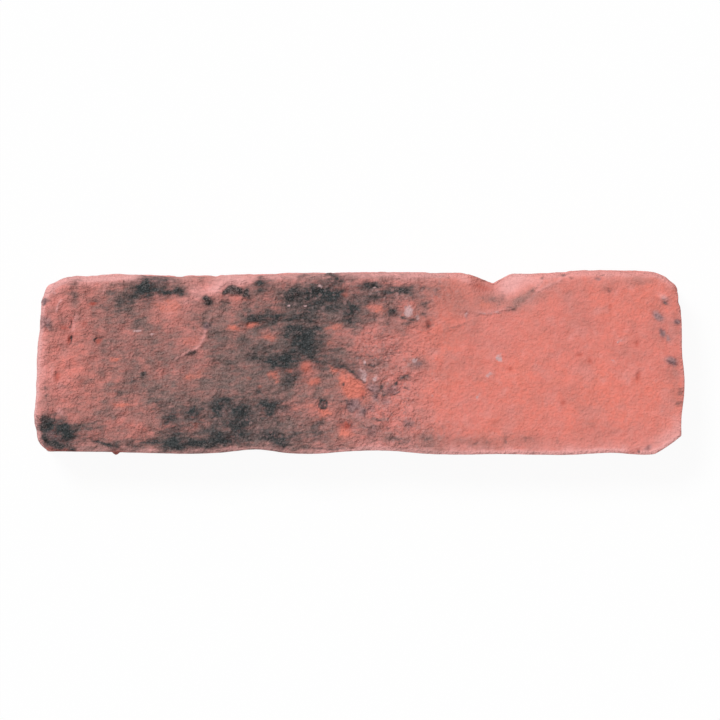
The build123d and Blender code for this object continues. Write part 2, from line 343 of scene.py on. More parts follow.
# Salts, lime and other whitish flecks
BLOOM = patches(
    (408,311, 11,13, .85), (364,378, 4,12, .75), (361,369, 5,6, .5), (375,379, 6,5, .85),
    (357.5,358, 4,4, .8), (365.5,362.5, 4,5, .75), (365,372, 4,8, .5), (370,388, 5,5, .4),
    (499,358, 8,9, .85), (488.5,376, 5,9, .6, -20), (478,396, 6,7, .35), (467,315, 5,9, .5),
    (488,312, 28,5, .38), (320,286, 4,2, .8), (323,287, 3,3, .6), (305,306.5, 4,1.6, .8, 10),
    (289,305.5, 3,1.6, .8), (374,288, 5,2, .8), (136.5,331.6, 8,2, .97), (153,333, 4.5,2.5, .8),
    (154,335.8, 4,1.8, .75, -25), (164,333.3, 6,2, .65, -10), (646,293, 5,5, .4), (619,342, 7,5, .55),
    (613,360, 6,3, .6, -30), (435,397, 7,6, .4), (414.5,360.5, 5,4, .85, 30), (266,437, 6,5, .6),
    (664,297, 9,7, .25), (48,346, 5,9, .4), (55,294, 7,5, .4), (662,410, 6,6, .35), (418,317, 8,7, .5),
)

# Dark red pits and chips, and painted shade on the nick's shaded left flank
RUST_AND_SHADE = patches(
    (99,341, 8,5, .6, 30), (69,339.5, 4,9, .7, -15), (64,328, 9,6, .5), (57,377, 5,9, .6),
    # the long patch at the nick is painted shade on its shaded left flank, over a brown band along the cut
    (84,324, 7,7, .4), (347,425.5, 10,8, .75), (428,325, 5,9, .7), (481,286, 24,5, .45, -12),
    (638,376, 4,11, .6, -15), (563,403, 5,5, .6), (637,343, 5,6, .5), (590,361, 4,4, .6),
    (510,370, 4,4, .6), (580,355, 7,4, .5), (610,307, 4,5, .4), (634,450, 16,4, .5, 15),
    (46,323, 8,11, .5, 20), (93,304, 9,4, .8, 10), (362,395, 4,6, .6), (306,367, 12,12, .2),
    (316,383, 12,8, .2), (116,455, 14,9, .97), (60,449.5, 40,4, .6, -3),
)

# Stones in the clay, grey to pink
STONES = patches(
    (664.5,300, 7,9, .35, 40), (658,316, 14,7.5, .9, -38), (677,322, 7,6, .9), (662,333, 5,10, .9, 15),
    (668,338, 4,6, .8, 10), (672,361, 12,8, .9, -35), (353.5,405, 14,12, .85, 30),
    (45,322.5, 10,12, .75, 20), (45,302, 5,5, .8), (648,448, 8,5, .6, 20), (598,279, 6,4, .6),
    (323,404, 4,4, .6), (207,327, 6,6, .8), (418,364, 7,5, .6), (467,315, 4,8, .5), (371,408, 9,8, .5),
    (372,388, 14,9, .8, -20), (392,389.5, 14,9, .65, 10), (363,410.5, 6,9, .72, 20), (360,416, 10,8, .3),
    (372,431, 12,13, .35), (376,397, 6,6, .8), (362,374, 10,8, .7), (408,423, 10,9, .45),
    (386,402, 9,8, .5), (50,433.5, 9,5, .35, 10), (57,438, 14,4, .25, -15),
)

# Where the face is worn or scuffed pale, and painted highlights and light: on the lit sides of the ridge,
# of lumps and grooves and of the nick's right flank, and on the lower arris
PALE_LINES = [Line(*row) for row in (
    # painted highlight on the lit side of the ridge
    (.7, 3.5, ((210,318), (207,324), (205,334), (202,343), (195,350), (185,354), (176,358))),
    (.45, 3, ((59,381), (61,385), (58,390))),
    (.6, 3.5, ((58,410), (62,414))),
    # painted highlights on lit lumps and on a groove's lit wall
    (.9, 2.6, ((61,300), (58,306), (56,312))),
    (.8, 2.6, ((106,285), (103,293))),
    (.65, 2.8, ((76.5,316), (74,323), (72.5,330))),
    (.55, 3, ((537,290), (547,287), (556,282), (562,278))),
    (.22, 3, ((480,311), (498,310), (508,306))),
    (.45, 2.5, ((363,376), (364,383))),
)]
PALE = patches(
    # painted light on the lit right flank of the nick
    (511,285, 22,16, .97, 35), (513,282, 26,14, .9, 30), (518,277, 24,12, .9, 10), (535,279, 20,8, .6, 10),
    (547,287, 26,4, .5, 25), (216,288, 22,10, .95, 20), (197,293, 18,14, .6), (234,279, 34,9, .95),
    (238,281, 24,8, .7), (236,283, 20,6, .6), (186,279, 14,10, .5), (222,281, 20,8, .5),
    (254,279, 20,8, .35), (46,288, 12,18, .6, -40), (100,279, 70,9, .5, 3), (470,281, 14,8, .4, -35),
    (462,277, 14,8, .6, -20), (498,311, 26,4, .4, 5), (192,352, 16,4, .5, 30), (42,362, 9,76, .5),
    # painted light on the lower arris, here and along the lower edge below
    (575,447, 150,12, .17), (620,450, 60,7, .3), (668,437, 34,12, .62, 32), (678,427, 8,18, .5, 15),
    (664,297, 9,4, .7, -40), (377,378, 5,4, .6), (364,380, 3,9, .6), (362,366, 4,4, .4),
    (400,447, 50,5, .2, -5), (330,451, 60,3, .3), (168,306, 34,16, .35), (60,412, 8,6, .9, -30),
    (52,372, 4,16, .5), (60,385, 5,8, .55), (186,302, 8,4, .4),
)

# The two spalls, whose arris isn't made pale
SPALLS = patches((495,288, 78,56, 1), (203,280, 52,32, 1))

# Relief of single marks: dents below the face and bumps above it, heights in millimetres
DENTS = patches(
    (98,340, 10,7, -.9, 30), (70.5,339.5, 4,10, -.6, -15), (72,321, 4,15, -.5, 20), (57,377, 6,11, -.6, 10),
    (64,328, 10,6, -.25), (84,324, 8,8, -.25), (347,425, 10,9, -.6), (347,425, 5,4, .4),
    (428,325, 6,9, -.5), (638,376, 5,12, -.35, -15), (563,403, 5,5, -.3), (637,343, 5,5, -.25),
    (590,361, 4,4, -.25), (510,370, 5,4, -.25), (580,355, 8,4, -.25), (143,373, 7,7, -.4),
    (323,404, 10,9, -.7), (322,403, 4,4, .5), (344,385, 5,5, -.3), (564,273, 8,5, -.5, 20),
    (602,275, 6,4, -.4), (611,290, 7,5, -.35, -20), (599,279, 6,4, -.35), (216,276, 8,5, -.5),
    (639,450, 4,4, -.4), (93,303, 9,5, -.3, 10), (50,350, 6,10, -.3, 10), (506,438, 4,12, -.3),
    (475,443, 9,5, -.3, 30), (180,275, 14,6, -.4), (664,297, 10,7, .35), (657,315, 10,9, .4, -30),
    (677,322, 8,7, .4), (662,333, 6,10, .35, -20), (669,338, 6,7, .3), (672,360, 12,9, .4, -30),
    (233,290, 26,10, .45, 5), (249,295, 9,11, .4, -30), (207,299, 11,11, .35, -40), (46,323, 10,14, .4, 20),
    (46,302, 6,6, .12), (62,431, 18,14, .3, -30), (47,419, 16,12, .35, 20), (193,413, 14,12, .2),
    (353.5,405, 14,12, .4, 30), (372,388, 14,9, .35, -20), (392,389.5, 14,9, .35, 10),
    (363,410.5, 6,9, .3, 20), (360,416, 10,8, .25), (362,374, 10,8, .3), (376,379, 6,5, .35),
    (289,298, 8,11, .5), (296,293, 9,7, .5),
)

# Ridges above the face, and grooves where the height is below nought
RIDGES = [Line(*row) for row in (
    (.6, 4, ((210,318), (207,324), (205,334), (202,343), (195,350), (188,353.5))),
    (.22, 3.5, ((437,329), (446,331), (460,325), (473,321), (474,316))),
    (.45, 3, ((56,312), (58,306), (61,300))),
    (.35, 3.5, ((537,290), (547,287), (556,282), (562,278))),
    (.25, 3.5, ((103,293), (105,286))),
    (.3, 3, ((112,357), (117,360), (121,355))),
    (-.55, 2.6, ((74,314), (71.5,321), (69.8,328))),
    (-.4, 2.2, ((222,301), (234,304), (246,309))),
    (-.3, 2.2, ((92,440), (104,445), (118,447), (140,441), (162,442))),
    (-.25, 2, ((280,448), (300,447.5), (320,448.5))),
    (-.25, 2.5, ((392,316), (402,318), (412,322))),
    (-.2, 2, ((555,293), (570,294), (584,292), (600,294))),
    (-.22, 2, ((612,436), (618,432), (622,437), (630,431))),
    (-.22, 2, ((624,444), (630,440), (634,445), (640,440))),
    (-.25, 2.2, ((316,325), (328,326), (340,325))),
    (.22, 2.4, ((611,349), (612,338), (616,330), (622,326))),
    (.18, 2.4, ((618,347), (624,345), (630,339))),
    (.16, 2.4, ((625,372), (626,384))),
)]

# Steps in the face
LEDGES = [Ledge(*row) for row in (
    (.55, 26, ((331,366), (342,371), (352,378), (361,385), (365,393))),
    (.6, 16, ((476,313), (488,314), (500,311.5), (514,309), (524,300), (534,290))),
    (.35, 18, ((247,322), (249,312), (246,309))),
    (.45, 12, ((249,323), (262,321.5), (275,319.5), (296,320.5), (318,321.5))),
    (.3, 14, ((392,317), (376,311), (358,318))),
    (.3, 20, ((150,398), (160,412), (158,426))),
)]

NIB = Patch(116, 453, 12, 11, 1.7)  # a crumb standing out of the lower bed
NIB_HEIGHT = 12.0  # above the back
# Where the outline stands out a little
KNUCKLES = patches(
    (681,388, 12,38, .25), (49,287, 14,14, 1.2), (64,279, 20,12, .3), (677,287, 14,14, .7),
    (680,307, 10,10, .35), (190,272, 110,14, .3), (610,268, 120,14, .25), (38,325, 16,80, .28),
    (608,454, 60,12, .22), (375,452, 40,12, .2),
)


def lattice(points, seed):
    """Smooth noise between about -1 and 1 at each point, from random slopes on a lattice of unit pitch."""
    shape = (LATTICE_SIZE, LATTICE_SIZE, LATTICE_SIZE, 3)
    slopes = np.random.default_rng(seed).normal(size=shape)
    slopes /= np.linalg.norm(slopes, axis=-1, keepdims=True)
    cell = np.floor(points).astype(int)
    part = points - cell
    fade = part**3 * (part * (part * 6 - 15) + 10)
    total = np.zeros(len(points))
    for corner in np.ndindex(2, 2, 2):
        offset = np.array(corner)
        place = (cell + offset) % LATTICE_SIZE
        slope = slopes[place[:, 0], place[:, 1], place[:, 2]]
        weight = np.prod(np.where(offset, fade, 1 - fade), axis=1)
        total += weight * np.einsum("ij,ij->i", slope, part - offset)
    return total * LATTICE_GAIN


def octaves(points, wavelength, seed, count=3):
    """Noise summed over so many octaves, each half as long and half as strong as the one before."""
    return sum(0.5**n * lattice(points * (2**n / wavelength), seed + n) for n in range(count))


def streaks(points, along, across, turn, seed):
    """Noise drawn out along a direction in the face: its wavelengths along and across it."""
    c, s = cos(radians(turn)), sin(radians(turn))
    rotated = np.column_stack((
        (points[:, 0] * c + points[:, 1] * s) * across / along,
        points[:, 1] * c - points[:, 0] * s,
        points[:, 2],
    ))
    return lattice(rotated / across, seed)


def step(values, start, end):
    """0 below start, 1 above end, smooth between."""
    share = np.clip((values - start) / (end - start), 0, 1)
    return share * share * (3 - 2 * share)


def ellipse(px, py, patch):
    """Squared distance from a patch's middle, 1 at its rim."""
    c, s = cos(radians(patch.turn)), sin(radians(patch.turn))
    right, up = px - patch.x, patch.y - py
    along = (right * c + up * s) / (patch.length / 2)
    across = (up * c - right * s) / (patch.width / 2)
    return along**2 + across**2


def painted(spot, marks, hardness=1.5):
    """Patches laid over one another like coats of paint; a harder patch ends more sharply."""
    clear = np.ones(len(spot[0]))
    for patch in marks:
        clear *= 1 - patch.strength / (1 + ellipse(*spot, patch)**hardness)
    return 1 - clear


def stroked(spot, lines):
    """Lines laid over one another like strokes of paint."""
    clear = np.ones(len(spot[0]))
    for line in lines:
        gap, _ = along_line(*spot, line.points)
        clear *= 1 - line.height * np.exp(-(2 * gap / line.width)**2)
    return 1 - clear


def along_line(px, py, points):
    """Distance from a line through the points, and whether a place lies to the right of its way."""
    nearest = np.full(len(px), np.inf)
    right_of = np.zeros(len(px))
    for (x0, y0), (x1, y1) in zip(points, points[1:]):
        run_x, run_y = x1 - x0, y1 - y0
        square = run_x**2 + run_y**2
        share = np.clip(((px - x0) * run_x + (py - y0) * run_y) / square, 0, 1)
        gap = np.hypot(px - x0 - share * run_x, py - y0 - share * run_y)
        turn = run_x * (py - y0) - run_y * (px - x0)
        right_of = np.where(gap < nearest, np.sign(turn), right_of)
        nearest = np.minimum(nearest, gap)
    return nearest, right_of


def folded(place, folds):
    """1 in a fold, 0 away from it."""
    across = lattice(place / folds.pitch, folds.seed)
    shown = step(lattice(place / folds.patch_pitch, folds.patch_seed), PATCH_START, folds.patch_full)
    return np.exp(-(across / folds.width)**2) * shown


def skin_mesh():
    """The CAD solid's mesh rebuilt in even small squares, with one plain sheet for the back."""
    solid = bmesh.new()
    solid.from_mesh(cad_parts[NODE].data)
    bmesh.ops.remove_doubles(solid, verts=solid.verts, dist=MM / 1000)
    mesh = bpy.data.meshes.new("skin")
    solid.to_mesh(mesh)
    solid.free()
    skin = bpy.data.objects.new("skin", mesh)
    bpy.context.scene.collection.objects.link(skin)
    remesh = skin.modifiers.new("squares", "REMESH")
    remesh.mode = "VOXEL"
    remesh.voxel_size = SKIN_PITCH * MM
    apply_modifiers(skin)
    squares = bmesh.new()
    squares.from_mesh(skin.data)
    flat = [
        face for face in squares.faces
        if face.calc_center_median().z < BACK_SKIN * MM and face.normal.z < LOOKS_DOWN
    ]
    bmesh.ops.delete(squares, geom=flat, context="FACES")
    rim = [edge for edge in squares.edges if edge.is_boundary]
    bmesh.ops.triangle_fill(squares, use_beauty=True, use_dissolve=False, edges=rim, normal=(0, 0, -1))
    squares.to_mesh(skin.data)
    squares.free()
    return skin


def apply_modifiers(skin):
    """Replace an object's mesh by what its modifiers make of it."""
    seen = skin.evaluated_get(bpy.context.evaluated_depsgraph_get())
    made = bpy.data.meshes.new_from_object(seen)
    skin.modifiers.clear()
    skin.data = made


def vertex_rows(mesh, name):
    """One row of three numbers for each vertex: its place, co, or its normal."""
    values = np.empty(len(mesh.vertices) * 3)
    mesh.vertices.foreach_get(name, values)
    return values.reshape(-1, 3)


def paint(mesh, name, values):
    """Keep one number per vertex, for the material to read."""
    mesh.attributes.new(name, "FLOAT", "POINT").data.foreach_set("value", values.astype(np.float32))


def seen_at(place):
    """Column and row of the picture at which the camera sees each place."""
    scale = REACH / (CAMERA_HEIGHT - place[:, 2]) / PIXEL
    return (
        PICTURE_SIZE / 2 + (place[:, 0] - LOOK_AT[0]) * scale,
        PICTURE_SIZE / 2 - (place[:, 1] - LOOK_AT[1]) * scale,
    )


def squared_arris(z, amount):
    """Heights with the arris drawn up towards the face by an amount from 0 to 1."""
    depth = THICKNESS - z
    drawn_up = depth * (SQUARED_LEFT + (1 - SQUARED_LEFT) * step(depth, *SQUARED_DEPTHS))
    return THICKNESS - depth + amount * (depth - drawn_up)


def ragged(spot, place, reach):
    """Picture places pushed about by noise, so that what is looked up there gets an uneven rim."""
    px, py = spot
    wide = 3.0 * reach
    fine = 1.5 * reach
    return (
        px + wide * octaves(place, 5.0, 11) + fine * octaves(place, 1.7, 14, 2),
        py + wide * octaves(place, 5.0, 21) + fine * octaves(place, 1.7, 24, 2),
    )


def turned(facing):
    """1 where a side looks one way, 0 where it looks away, from its normal's reach that way."""
    return step(facing, 0.2, 0.7)


def lie_of(mesh):
    """Where each vertex is and which way it looks, with the arris of the shaded sides squared."""
    lie = SimpleNamespace(place=vertex_rows(mesh, "co") / MM, outward=vertex_rows(mesh, "normal"))
    level = lie.outward[:, :2]
    lie.right, lie.up = (level / np.maximum(np.linalg.norm(level, axis=1), 0.01)[:, None]).T
    lie.depth = THICKNESS - lie.place[:, 2]
    lie.shaded = turned(0.7 * lie.right - lie.up)
    lie.place[:, 2] = squared_arris(lie.place[:, 2], lie.shaded)
    height = lie.place[:, 2] / THICKNESS
    lie.spot = seen_at(lie.place)
    lie.near = ragged(lie.spot, lie.place, 0.4)
    lie.far = ragged(lie.spot, lie.place, 0.8)
    lie.face = step(lie.outward[:, 2], 0.6, 0.95) * step(height, *FACE_HEIGHTS)
    lie.back = step(-lie.outward[:, 2], 0.5, 0.9)
    lie.side = (1 - lie.face) * (1 - lie.back)
    lie.upper = step(height, *UPPER_HEIGHTS)
    lie.below_rim = step(THICKNESS - lie.place[:, 2], *RIM_DEPTHS)
    lie.plain = step(lie.spot[0], *PLAIN_COLUMNS)
    return lie


def stains_of(lie):
    """How much soot and painted shade, ochre, grit and crust there is at each vertex."""
    ochre = painted(lie.far, OCHRE, hardness=1.4) * lie.face
    return SimpleNamespace(
        soot_and_shade=np.maximum(painted(lie.far, SOOT_AND_SHADE, hardness=1.3), stroked(lie.near, SOOT_AND_SHADOW_LINES)),
        ochre=ochre,
        grit=painted(lie.far, GRIT) * (1 - 0.8 * ochre),
        crust=painted(lie.near, CRUSTS, hardness=5),
    )


def face_relief(lie, stains):
    """Hand-thrown clay: broad swells, lumps and wrinkles, coarser on the left than on the right."""
    coarse = (1 - 0.74 * lie.plain) * (1 - 0.5 * stains.ochre)
    lumps = sum(lump.height * lattice(lie.place / lump.wavelength, lump.seed) for lump in LUMPS)
    lumps += 0.08 * streaks(lie.place, along=5, across=1.8, turn=34, seed=37)
    lumps -= WRINKLES.depth * folded(lie.place, WRINKLES)
    gritty = np.maximum(stains.soot_and_shade, 0.6 * stains.grit) * octaves(lie.place, 1.7, 39, 2)
    return SWELL * octaves(lie.place, 45, 31, 2) + coarse * lumps + 0.40 * gritty


def side_relief(lie):
    """Rough sides with the mould's creases, which are smoother at the rim of the shaded ones."""
    rough = 0.26 * octaves(lie.place, 9, 41, 2) + 0.16 * octaves(lie.place, 3, 43, 3)
    rough -= CREASES.depth * folded(lie.place, CREASES)
    return rough * (1 - 0.75 * lie.shaded * (1 - lie.below_rim))


def marked_relief(lie):
    """The single dents, bumps, ridges and ledges, the crumb and the knuckles of the outline."""
    relief = np.zeros(len(lie.place))
    for dent in DENTS:
        relief += dent.strength / (1 + (1.2 * ellipse(*lie.near, dent))**3)
    for ridge in RIDGES:
        gap, _ = along_line(*lie.near, ridge.points)
        relief += lie.face * ridge.height * np.exp(-(2 * gap / ridge.width)**2)
    for ledge in LEDGES:
        gap, right_of = along_line(*lie.near, ledge.points)
        below = step(right_of * gap, -1.0, 1.2)
        relief -= lie.face * ledge.drop * below * np.exp(-(gap / ledge.fade)**2)
    for knuckle in KNUCKLES:
        relief += lie.side * knuckle.strength * np.exp(-ellipse(*lie.spot, knuckle))
    nib_drop = (lie.place[:, 2] - NIB_HEIGHT) / (NIB.width * PIXEL / 2)
    return relief + NIB.strength * np.exp(-2 * (ellipse(*lie.spot, NIB) + nib_drop**2))


def raise_relief(mesh, lie, stains):
    """Move each vertex out of the solid or into it, and never below the back."""
    relief = lie.face * face_relief(lie, stains) + lie.side * side_relief(lie) + marked_relief(lie)
    relief += CRUST_HEIGHT * stains.crust * (1 + octaves(lie.place, 1.3, 71, 2))
    relief += RIM_OUT * lie.side * turned(-lie.up) * (1 - lie.below_rim)
    relief -= UNDERCUT * lie.side * lie.shaded * lie.below_rim
    moved = lie.place + lie.outward * (relief * (1 - lie.back))[:, None]
    moved[:, 2] = np.maximum(moved[:, 2], low[2])
    mesh.vertices.foreach_set("co", (moved * MM).ravel())


def carried_inland(place, values, rim, reach):
    """Values of the vertices along a rim carried to every place, fading with the distance from it."""
    tree = KDTree(int(rim.sum()))
    for index in np.flatnonzero(rim):
        tree.insert(place[index], int(index))
    tree.balance()
    nearest = [tree.find(point)[1:] for point in place]
    index = np.array([found[0] for found in nearest])
    gap = np.array([found[1] for found in nearest])
    return values[index] * np.exp(-(gap / reach)**2)


def pale_arris(lie):
    """How pale the arris is, from wear and from painted light that keeps the shaded lower arris pale, on
    its slope and a little way on to the face.
    """
    column = lie.spot[0]
    # Less pale where the arris looks right, and on top in the middle and right. The lower arris so stays
    # pale in the key lamp's shade: painted light over real wear.
    dull = 0.9 * step(lie.right, 0.75, 0.95) + 0.15 * turned(-lie.up)
    dull += (0.25 * step(column, *DULL_MIDDLE) + 0.26 * step(column, *DULL_RIGHT)) * turned(lie.up)
    arris_paleness = step(lie.depth + 0.18 * octaves(lie.place, 4, 51), 0.0, 0.55)
    arris_paleness *= (1 - painted(lie.spot, SPALLS, hardness=3)) * (1 - dull)
    rim = (lie.depth > PALE_RIM[0]) & (lie.depth < PALE_RIM[1])
    inland = carried_inland(lie.place, arris_paleness, rim, PALE_INLAND)
    return np.maximum(arris_paleness, 0.75 * inland * np.clip(0.8 + 0.8 * octaves(lie.place, 4, 53), 0, 1))


def haze_of(lie):
    """The all-over haze of the fire, strongest left of the middle and round the soot."""
    column = lie.spot[0]
    haze = 0.46 + 0.34 * step(column, *HAZE_RISES) - 0.70 * step(column, *HAZE_FALLS)
    haze += 0.25 * octaves(lie.place, 9, 61)
    return 1 - (1 - np.clip(haze, 0, 1)) * (1 - 0.35 * painted(lie.far, SOOT_AND_SHADE, hardness=1.3))


def amounts_of(lie, stains):
    """How much of each tint and mark the material shows at each vertex."""
    arris_paleness = pale_arris(lie)
    pale = np.maximum(painted(lie.near, PALE), stroked(lie.near, PALE_LINES))
    sandless = step(lie.depth, *SANDED_DEPTHS) * step(octaves(lie.place, 11, 83, 3), -0.15, 0.45)
    haze = haze_of(lie)
    veil = haze * (1 - painted(lie.far, CLEAR)) * (1 - 0.8 * arris_paleness)
    dusk = 1 - (1 - veil) * (1 - painted(lie.far, DUSK) * (1 - 0.3 * arris_paleness))
    grime = 0.55 * step(octaves(lie.place, 14, 81, 5), -0.2, 0.7) * (0.35 + 0.65 * haze)
    grime += 0.4 * folded(lie.place, CREASES)
    sandy = 0.6 * step(octaves(lie.place, 9, 87, 3), -0.3, 0.4)
    lower_side = lie.side * (1 - lie.upper)
    return {
        "pale": np.maximum(arris_paleness * (1 - 0.55 * sandless), pale),
        # soot, with the painted shadow lines and painted shade
        "soot_and_shade": stains.soot_and_shade * lie.upper,
        "grit": np.maximum(stains.grit * lie.upper, lower_side * sandy),
        "crust": stains.crust * lie.upper,
        "dusk": np.maximum(dusk * lie.upper * (1 - 0.7 * pale), lower_side * grime),
        "stone": painted(lie.near, STONES, hardness=3) * lie.upper,
        "ochre": stains.ochre,
        "bloom": painted(lie.near, BLOOM, hardness=2.2) * lie.face,
        "rust_and_shade": painted(lie.near, RUST_AND_SHADE, hardness=2) * lie.upper,
    }


def shape_and_paint(skin):
    """Give the skin its relief, and the amounts of soot and painted shade, bloom and the rest at each
    vertex.
    """
    mesh = skin.data
    lie = lie_of(mesh)
    stains = stains_of(lie)
    raise_relief(mesh, lie, stains)
    above_back = lie.place[:, 2] > low[2] + BACK_SKIN
    for name, values in amounts_of(lie, stains).items():
        paint(mesh, name, values * above_back)
    paint(mesh, "rough", 1 - 0.55 * lie.face * lie.plain)
    mesh.shade_smooth()
    mesh.set_sharp_from_angle(angle=radians(SHARP_ANGLE))
    mesh.update()


def linear(red, green, blue):
    """A colour written as it looks on a screen, 0 to 255, in the renderer's own measure."""
    shares = np.array((red, green, blue)) / 255
    curve = np.where(shares <= 0.04045, shares / 12.92, ((shares + 0.055) / 1.055)**2.4)
    return (*curve.tolist(), 1.0)


# Colours of the clay and of what lies on it; a pair is mixed by noise
CORAL = (linear(234, 129, 114), linear(224, 129, 118))
BRICK = linear(208, 117, 101)
SALMON = linear(222, 142, 134)
FLESH = linear(214, 138, 128)
DUSTY = linear(228, 148, 142)
# pale pink of worn clay, also of painted light and highlights
PALE_PINK = (linear(241, 177, 173), linear(226, 160, 156))
SMOKE = (linear(113, 94, 90), linear(144, 120, 115))
ORANGE = linear(227, 130, 113)
# dark red of rust, also of painted shade on the nick's left flank
DARK_RED = linear(176, 76, 62)
# black of the soot, also of the painted shadows
CHAR_AND_SHADE = (linear(39, 44, 45), linear(73, 77, 78))
# grey of ash, also of painted highlight specks on the soot
ASH_AND_GLINT = linear(138, 134, 134)
SCAB = (linear(44, 44, 45), linear(116, 104, 102))
LILAC = (linear(112, 87, 91), linear(170, 132, 133))
LIME = linear(206, 168, 168)
GREY_PEBBLE = linear(134, 112, 111)
PINK_PEBBLE = linear(216, 160, 155)
DARK_GRAIN = linear(80, 62, 62)
PALE_GRAIN = linear(200, 168, 166)
FLOOR_WHITE = linear(244, 244, 244)

# Noise that the clay's colours share: wavelength and detail
NOISES = {
    "cloud": (22, 4), "patchy": (7, 3), "mottle": (3.2, 4), "fleck": (1.5, 3),
    "speck": (1.1, 3), "grain": (0.9, 3), "salt": (0.55, 2),
}
STREAK = (1.3, 3)
STREAK_STRETCH = 3.5
STREAK_TURN = 7  # degrees

# Places of the colour sockets on a mix node
MIX_FIRST = 6
MIX_SECOND = 7
MIX_RESULT = 2


class Nodes:
    """Short names for the shader nodes that the clay is mixed from."""

    def __init__(self, material):
        material.use_nodes = True
        self.tree = material.node_tree
        self.tree.nodes.clear()

    def add(self, kind, **settings):
        node = self.tree.nodes.new(kind)
        for name, value in settings.items():
            setattr(node, name, value)
        return node

    def feed(self, socket, value):
        if isinstance(value, bpy.types.NodeSocket):
            self.tree.links.new(value, socket)
        else:
            socket.default_value = value

    def math(self, operation, first, second):
        node = self.add("ShaderNodeMath", operation=operation)
        self.feed(node.inputs[0], first)
        self.feed(node.inputs[1], second)
        return node.outputs[0]

    def amount(self, name):
        return self.add("ShaderNodeAttribute", attribute_name=name).outputs["Fac"]

    def noise(self, place, wavelength, detail):
        node = self.add("ShaderNodeTexNoise")
        self.feed(node.inputs["Vector"], place)
        node.inputs["Scale"].default_value = 1 / (wavelength * MM)
        node.inputs["Detail"].default_value = detail
        return node.outputs["Fac"]

    def drawn_out(self, place, stretch, turn):
        """Places shrunk along one direction of the face, so that noise there is drawn out into streaks."""
        node = self.add("ShaderNodeMapping", vector_type="TEXTURE")
        self.feed(node.inputs["Vector"], place)
        node.inputs["Rotation"].default_value = (0, 0, radians(turn))
        node.inputs["Scale"].default_value = (stretch, 1, 1)
        return node.outputs["Vector"]

    def spread(self, noise, reach):
        """Noise about nought, so many times as strong."""
        return self.math("MULTIPLY", self.math("SUBTRACT", noise, 0.5), reach)

    def uneven(self, first, first_reach, second, second_reach):
        """Two noises about nought, added up."""
        return self.math("ADD", self.spread(first, first_reach), self.spread(second, second_reach))

    def between(self, value, start, end, low_value=0.0, high_value=1.0):
        """Values from start to end brought smoothly to the range from low to high."""
        node = self.add("ShaderNodeMapRange", interpolation_type="SMOOTHSTEP")
        for index, number in enumerate((value, start, end, low_value, high_value)):
            self.feed(node.inputs[index], number)
        return node.outputs["Result"]

    def mix(self, amount, first, second, blend="MIX"):
        node = self.add("ShaderNodeMix", data_type="RGBA", blend_type=blend)
        self.feed(node.inputs["Factor"], amount)
        self.feed(node.inputs[MIX_FIRST], first)
        self.feed(node.inputs[MIX_SECOND], second)
        return node.outputs[MIX_RESULT]


def sawn_back(n, place):
    """How much of a place belongs to the sawn back, and the height of the saw's arcs there, 0 to 1."""
    height = n.add("ShaderNodeSeparateXYZ")
    n.feed(height.inputs[0], place)
    back = n.between(height.outputs["Z"], SAW_FADE * MM, BACK_SKIN * MM)
    reach = n.add("ShaderNodeVectorMath", operation="DISTANCE")
    n.feed(reach.inputs[0], place)
    reach.inputs[1].default_value = [value * MM for value in SAW_CENTRE]
    turns = n.math("MULTIPLY", reach.outputs["Value"], 2 * np.pi / (SAW_PITCH * MM))
    turns = n.math("ADD", turns, n.spread(n.noise(place, 60, 2), SAW_WANDER))
    wave = n.math("SINE", turns, 0.0)
    shown = n.between(n.noise(place, 25, 3), 0.2, 0.7, 0.25, 1)
    return back, n.math("MULTIPLY", n.between(wave, -1, 1), shown)


def pebbles(n, place):
    """How gritty a place is, in round grains, and which grains are grey and which pink."""
    cells = n.add("ShaderNodeTexVoronoi")
    n.feed(cells.inputs["Vector"], place)
    cells.inputs["Scale"].default_value = 1 / (PEBBLE * MM)
    tone = n.add("ShaderNodeSeparateColor")
    n.feed(tone.inputs[0], cells.outputs["Color"])
    grains = n.between(cells.outputs["Distance"], 0.6, 0.4)
    stony = n.math("MULTIPLY", grains, n.math("POWER", n.amount("grit"), 3.0))
    grey = n.between(tone.outputs["Red"], 0.62, 0.72, 0, 0.7)
    pink = n.between(tone.outputs["Green"], 0.66, 0.76, 0, 0.6)
    return stony, grey, pink


def clay_noises(n, place):
    noises = {name: n.noise(place, *size) for name, size in NOISES.items()}
    streak = n.noise(n.drawn_out(place, STREAK_STRETCH, STREAK_TURN), *STREAK)
    return SimpleNamespace(streak=streak, **noises)


def body_colour(n, noise):
    """The clay itself: mottled coral, dusty where it is rough, and pale where it is worn and where light
    and highlights are painted.
    """
    colour = n.mix(n.between(noise.cloud, 0.35, 0.65), *CORAL)
    colour = n.mix(n.between(noise.mottle, 0.45, 0.75, 0, 0.3), colour, BRICK)
    colour = n.mix(n.between(noise.patchy, 0.52, 0.68, 0, 0.5), colour, SALMON)
    colour = n.mix(n.between(noise.fleck, 0.40, 0.60, 0, 0.3), colour, FLESH)
    colour = n.mix(n.between(n.amount("rough"), 0.5, 1.0, 0, 0.3), colour, DUSTY)
    return n.mix(n.amount("pale"), colour, n.mix(noise.mottle, *PALE_PINK))


